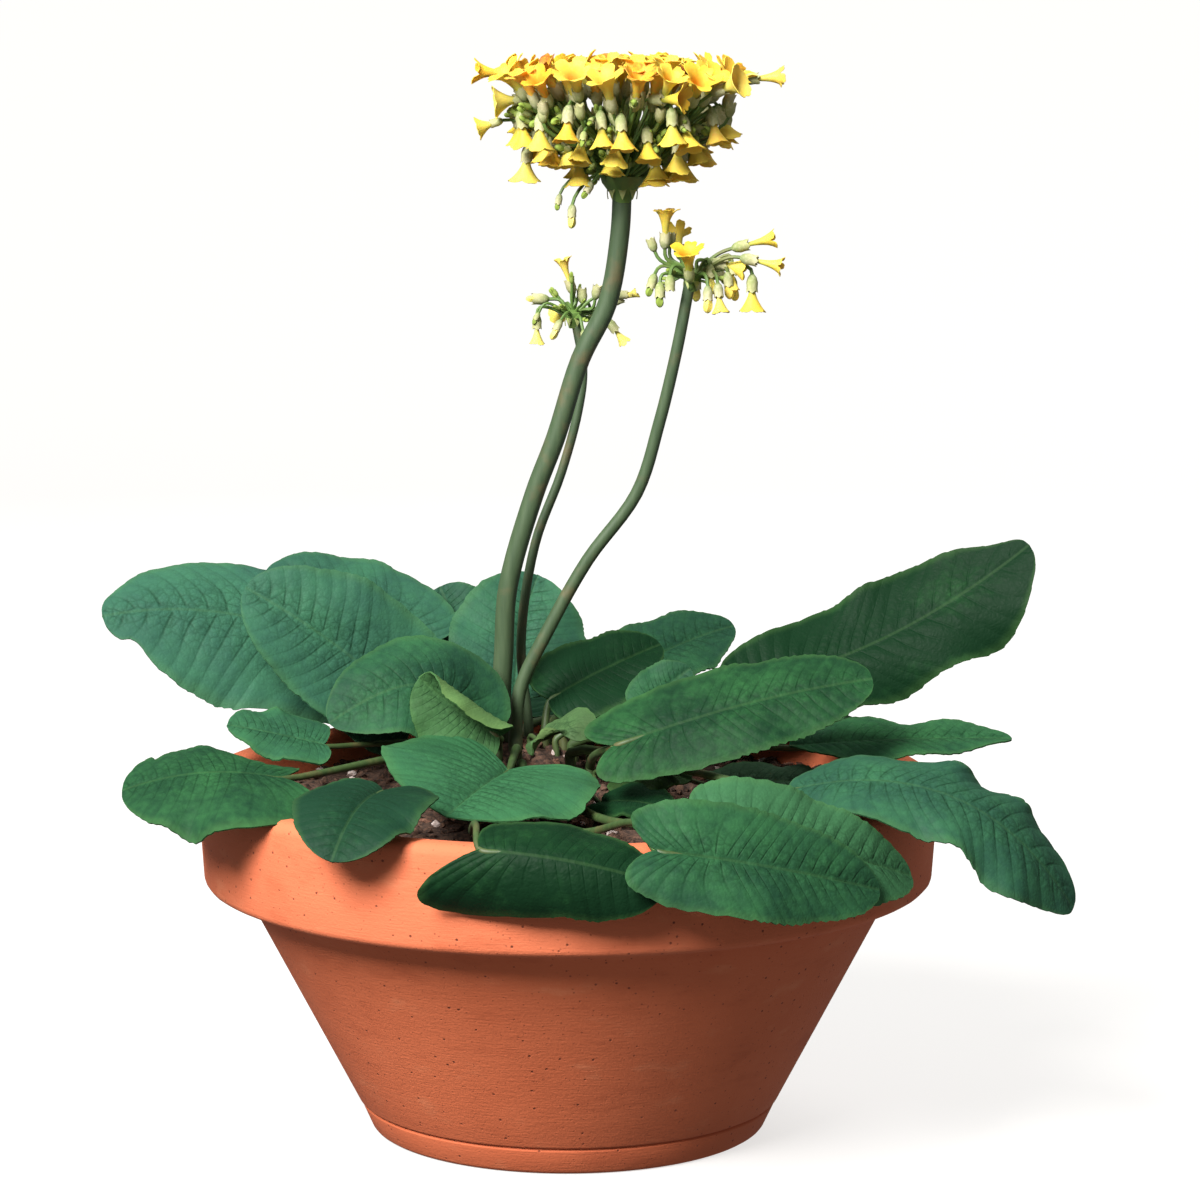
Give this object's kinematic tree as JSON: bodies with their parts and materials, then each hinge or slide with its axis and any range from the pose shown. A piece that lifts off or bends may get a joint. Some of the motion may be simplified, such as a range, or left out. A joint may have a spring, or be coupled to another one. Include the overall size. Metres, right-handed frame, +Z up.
{
  "type": "potted plant",
  "caption": "Giant cowslip in a terracotta pan: broad crinkled leaves and tall stems with clusters of nodding yellow bells.",
  "frame": {"origin": "centre of the pan's flat base, which is within 3 mm of the middle of the plant's own box", "axes": "+Z up, -Y towards the front of the plant, +X to its right as seen from the front"},
  "size_m": [0.3894, 0.3406, 0.4364],
  "materials": {
    "terracotta": "matte",
    "soil": "matte",
    "leaf": "satin",
    "stem": "satin",
    "petal": "matte"
  },
  "bodies": {
    "root": {"pot": "terracotta", "soil": "soil", "leaf_left_rear": "leaf", "leaf_left_upper": "leaf", "leaf_rear_left": "leaf", "leaf_rear_upright": "leaf", "leaf_rear_inner": "leaf", "leaf_front_puckered": "leaf", "leaf_small_left": "leaf", "leaf_left_front": "leaf", "leaf_over_rim_left": "leaf", "leaf_front_heart": "leaf", "leaf_rolled_centre": "leaf", "leaf_right_crinkled": "leaf", "leaf_rear_right_dark": "leaf", "leaf_right_tall": "leaf", "leaf_right_mid": "leaf", "leaf_right_narrow": "leaf", "leaf_right_drooping": "leaf", "leaf_front_centre": "leaf", "leaf_front_right": "leaf", "leaf_front_right_under": "leaf", "leaf_olive": "leaf", "leaf_low_dark": "leaf", "leaf_low_grey": "leaf", "leaf_behind_mid": "leaf", "leaf_back_centre": "leaf", "leaf_back_right": "leaf", "leaf_back_left": "leaf", "scape_main": "stem", "corollas_crown": "petal", "bells_upper": "petal", "bells_middle": "petal", "bells_lower": "petal", "scape_right": "stem", "corolla_right_upright": "petal", "corolla_right_far": "petal", "corolla_right_reaching": "petal", "corolla_right_open": "petal", "corolla_right_side": "petal", "corolla_right_hanging": "petal", "corolla_right_front": "petal", "corolla_right_rear": "petal", "scape_back": "stem", "corolla_back_upright": "petal", "corolla_back_hanging": "petal", "corolla_back_right": "petal", "corolla_back_drooping": "petal", "corolla_back_rear": "petal"}
  },
  "joints": []
}
